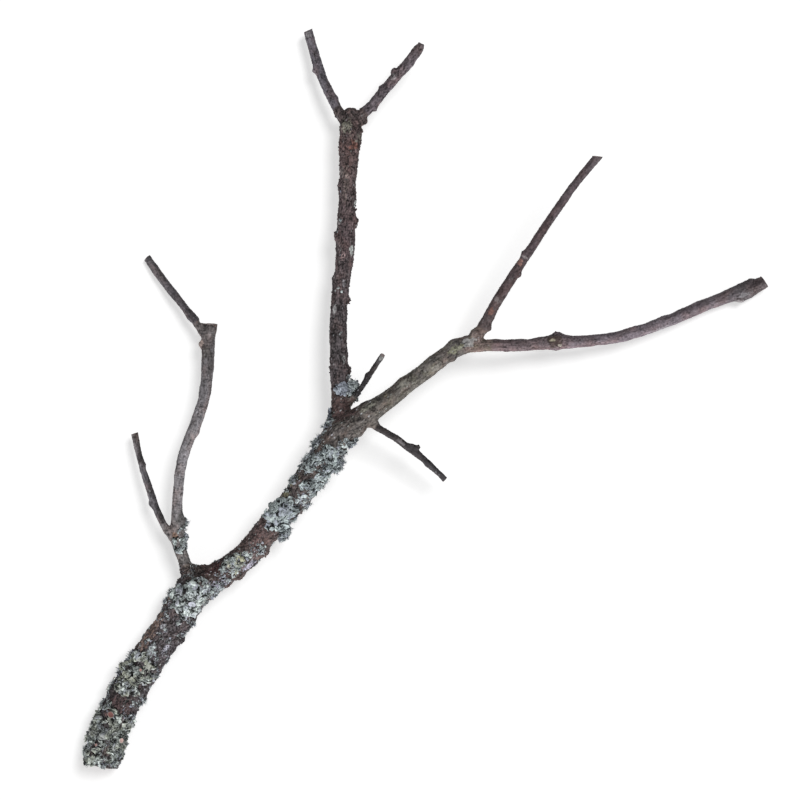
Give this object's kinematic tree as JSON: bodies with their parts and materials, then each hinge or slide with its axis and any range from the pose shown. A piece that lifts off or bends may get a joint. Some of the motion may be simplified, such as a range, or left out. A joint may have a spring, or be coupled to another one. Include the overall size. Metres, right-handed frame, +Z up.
{
  "type": "lichen-covered branch",
  "caption": "Pruned, leafless branch with forked twigs and crusts of grey-green lichen, lying on a surface.",
  "frame": {"origin": "on the surface it lies on, under the middle of its outline seen from above (bottom centre of the bounding box)", "axes": "+Z up from the surface towards the side that shows the most lichen; +Y from the cut butt end towards the forked tips; +X towards the long right-hand twig"},
  "size_m": [0.4139, 0.4455, 0.0555],
  "materials": {
    "trunk_bark": "rough fissured bark",
    "branch_bark": "matt grey-brown bark",
    "twig_bark": "smooth dark twig bark with lenticels",
    "lichen": "dry lobed lichen crust, matt"
  },
  "bodies": {
    "root": {"trunk_lower": "trunk_bark", "trunk_upper": "trunk_bark", "right_branch": "branch_bark", "left_branch": "branch_bark", "left_branch_tip": "twig_bark", "left_thin_twig": "twig_bark", "middle_branch": "branch_bark", "middle_fork_left_twig": "twig_bark", "middle_fork_right_twig": "twig_bark", "right_rising_twig": "twig_bark", "right_long_twig": "twig_bark", "small_upper_twig": "twig_bark", "small_lower_twig": "twig_bark", "lichen_butt": "lichen", "lichen_lower": "lichen", "lichen_fork": "lichen", "lichen_saddle": "lichen", "lichen_mid": "lichen", "lichen_mid_tuft": "lichen", "lichen_edge": "lichen", "lichen_upper": "lichen", "lichen_beard": "lichen", "lichen_collar": "lichen", "lichen_bump": "lichen", "lichen_left_branch": "lichen", "lichen_rosette": "lichen", "lichen_cluster": "lichen"}
  },
  "joints": []
}
